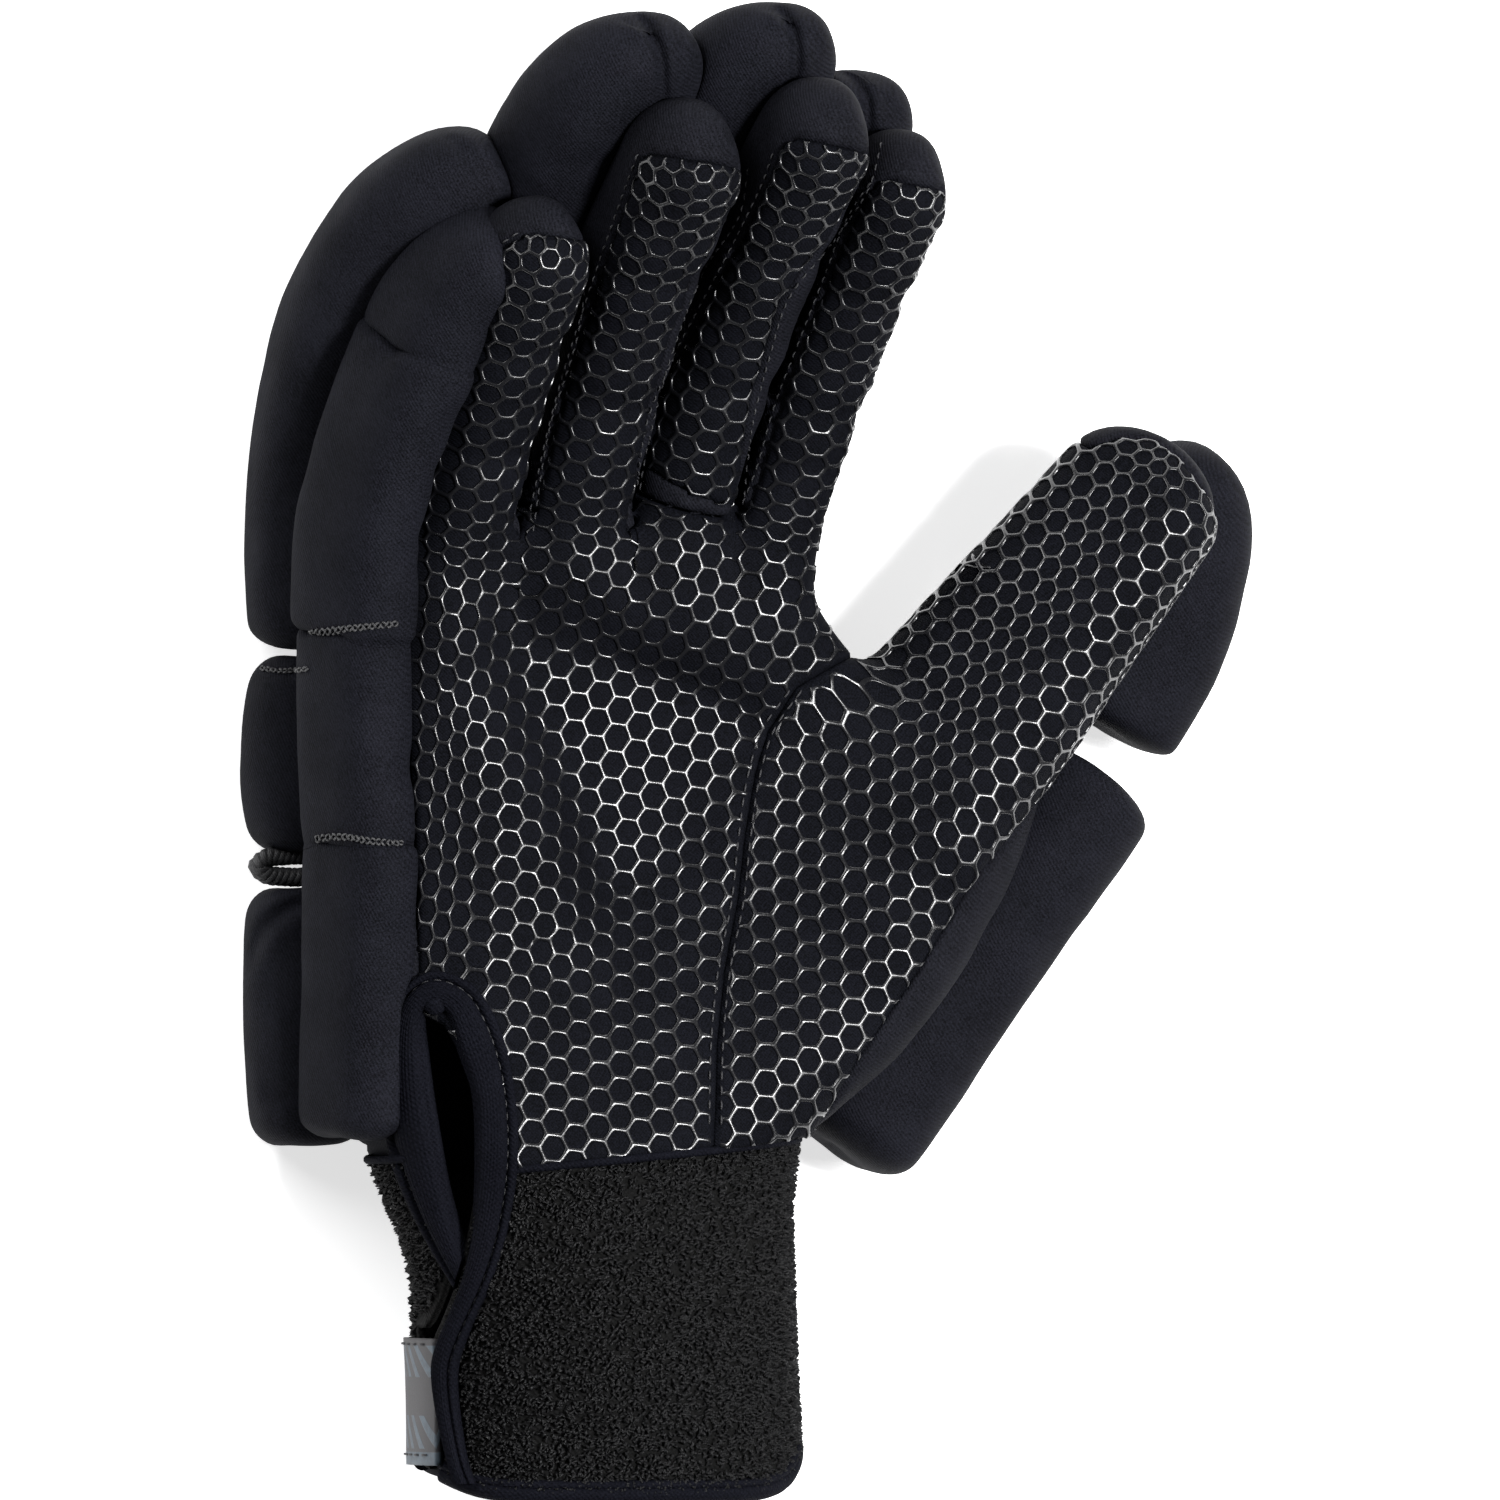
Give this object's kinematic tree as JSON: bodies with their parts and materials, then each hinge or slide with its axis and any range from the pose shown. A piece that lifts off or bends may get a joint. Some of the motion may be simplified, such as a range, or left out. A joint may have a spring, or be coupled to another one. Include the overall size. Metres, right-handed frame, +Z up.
{
  "type": "indoor hockey glove",
  "caption": "Padded indoor hockey glove for the right hand, with a gripping printed palm, foam pads on the back and side, and a towelling cuff that a tab closes.",
  "frame": {"origin": "middle of the glove's outline, on the surface that it lies on", "axes": "+X toward the thumb, +Y toward the fingertips, +Z up out of the palm"},
  "size_m": [0.1828, 0.2608, 0.0794],
  "materials": {
    "printed_knit": "black twill knit with a raised glossy net of hexagons",
    "neoprene": "matt black knit-faced neoprene",
    "foam_pad": "foam under smooth black knit",
    "terry": "black looped towelling",
    "edge_tape": "black ribbed edge tape",
    "printed_tab": "dark grey tab with blue-grey slanting stripes",
    "elastic": "black braided elastic"
  },
  "bodies": {
    "root": {"back_pad_lower_1": "foam_pad", "back_pad_lower_2": "foam_pad", "back_pad_lower_3": "foam_pad", "back_pad_upper_1": "foam_pad", "back_pad_upper_2": "foam_pad", "back_pad_upper_3": "foam_pad", "closure_tab": "printed_tab", "cuff": "terry", "elastic_loop": "elastic", "hand_back": "neoprene", "hem_tape": "edge_tape", "index_rib_lower": "foam_pad", "index_rib_upper": "foam_pad", "index_stall": "neoprene", "index_tip_pad": "foam_pad", "knuckle_pad_1": "foam_pad", "knuckle_pad_2": "foam_pad", "knuckle_pad_3": "foam_pad", "knuckle_pad_4": "foam_pad", "middle_rib_lower": "foam_pad", "middle_rib_upper": "foam_pad", "middle_stall": "neoprene", "middle_tip_pad": "foam_pad", "outer_pad_lower": "foam_pad", "outer_pad_middle": "foam_pad", "outer_pad_upper": "foam_pad", "palm_panel": "printed_knit", "pinky_stall": "neoprene", "ring_rib_lower": "foam_pad", "ring_rib_upper": "foam_pad", "ring_stall": "neoprene", "ring_tip_pad": "foam_pad", "side_pad_lower": "foam_pad", "side_pad_middle": "foam_pad", "side_pad_tip": "foam_pad", "side_pad_upper": "foam_pad", "slit_tape": "edge_tape", "thumb_base_pad": "foam_pad", "thumb_panel": "printed_knit", "thumb_stall": "neoprene", "thumb_tip_pad": "foam_pad"}
  },
  "joints": []
}
